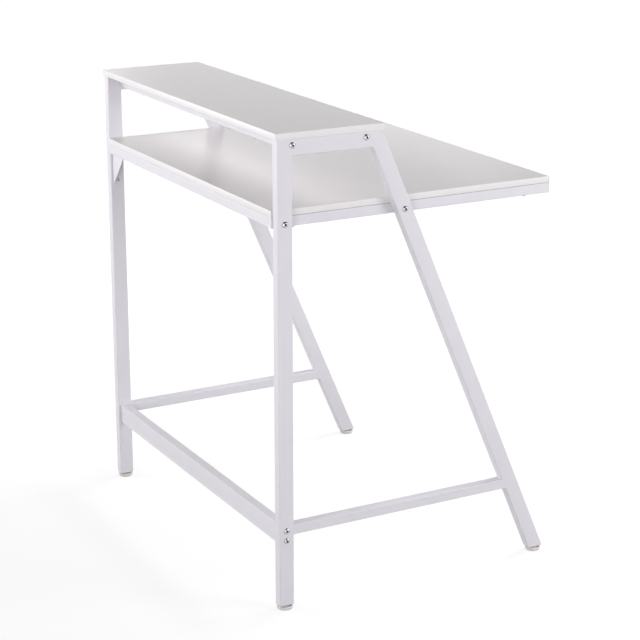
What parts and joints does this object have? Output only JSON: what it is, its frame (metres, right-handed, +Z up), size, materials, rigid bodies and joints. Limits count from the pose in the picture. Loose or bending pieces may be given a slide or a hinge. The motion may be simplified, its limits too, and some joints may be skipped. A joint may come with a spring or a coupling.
{
  "type": "ladder desk",
  "caption": "Ladder-style writing desk: side frames of upright posts and slanted front legs carry a flat desktop and a narrow upper shelf, tied by a low rear stretcher.",
  "frame": {"origin": "on the floor, in the middle of the desk's overall width and depth", "axes": "+Z up, +Y towards the rear (the posts and the upper shelf), +X to the right of a person who sits at the desk and faces +Y"},
  "size_m": [0.798, 0.601, 0.91],
  "materials": {
    "white_powder_coat": "white powder coat, satin",
    "white_laminate": "white melamine-faced board, satin",
    "white_edge_band": "white plastic edge band",
    "nickel_bolt": "nickel-plated",
    "zinc_steel": "zinc-plated",
    "plain_steel": "plain mild steel",
    "foot_plastic": "light grey moulded nylon"
  },
  "bodies": {
    "desk": {"left_rear_post": "white_powder_coat", "right_rear_post": "white_powder_coat", "left_top_rail": "white_powder_coat", "right_top_rail": "white_powder_coat", "left_front_leg": "white_powder_coat", "right_front_leg": "white_powder_coat", "left_lower_rail": "white_powder_coat", "right_lower_rail": "white_powder_coat", "desktop_rear_rail": "white_powder_coat", "desktop_front_rail": "white_powder_coat", "desktop_left_rail": "white_powder_coat", "desktop_right_rail": "white_powder_coat", "shelf_rear_rail": "white_powder_coat", "shelf_front_rail": "white_powder_coat", "lower_stretcher": "white_powder_coat", "gusset_bracket": "white_powder_coat", "rear_foot_nut_plates": "plain_steel", "front_foot_nut_plates": "plain_steel", "shelf_rail_end_plates": "plain_steel", "stretcher_end_plates": "plain_steel", "desktop_nut_bushes": "plain_steel", "desktop_board": "white_laminate", "shelf_board": "white_laminate", "desktop_edge_band": "white_edge_band", "shelf_edge_band": "white_edge_band", "desktop_bolts": "nickel_bolt", "shelf_bolts": "nickel_bolt", "stretcher_bolts": "nickel_bolt", "desktop_board_screws": "nickel_bolt", "shelf_board_screws": "nickel_bolt", "gusset_screws": "nickel_bolt"},
    "left_rear_foot": {"left_rear_foot_pad": "foot_plastic", "left_rear_foot_screw": "zinc_steel"},
    "right_rear_foot": {"right_rear_foot_pad": "foot_plastic", "right_rear_foot_screw": "zinc_steel"},
    "left_front_foot": {"left_front_foot_pad": "foot_plastic", "left_front_foot_screw": "zinc_steel"},
    "right_front_foot": {"right_front_foot_pad": "foot_plastic", "right_front_foot_screw": "zinc_steel"}
  },
  "joints": [
    {"name": "left_rear_foot_level", "type": "slide", "parent": "desk", "child": "left_rear_foot", "axis": [0, 0, -1], "range_m": [0, 0.01]},
    {"name": "right_rear_foot_level", "type": "slide", "parent": "desk", "child": "right_rear_foot", "axis": [0, 0, -1], "range_m": [0, 0.01]},
    {"name": "left_front_foot_level", "type": "slide", "parent": "desk", "child": "left_front_foot", "axis": [0, 0, -1], "range_m": [0, 0.01]},
    {"name": "right_front_foot_level", "type": "slide", "parent": "desk", "child": "right_front_foot", "axis": [0, 0, -1], "range_m": [0, 0.01]}
  ]
}
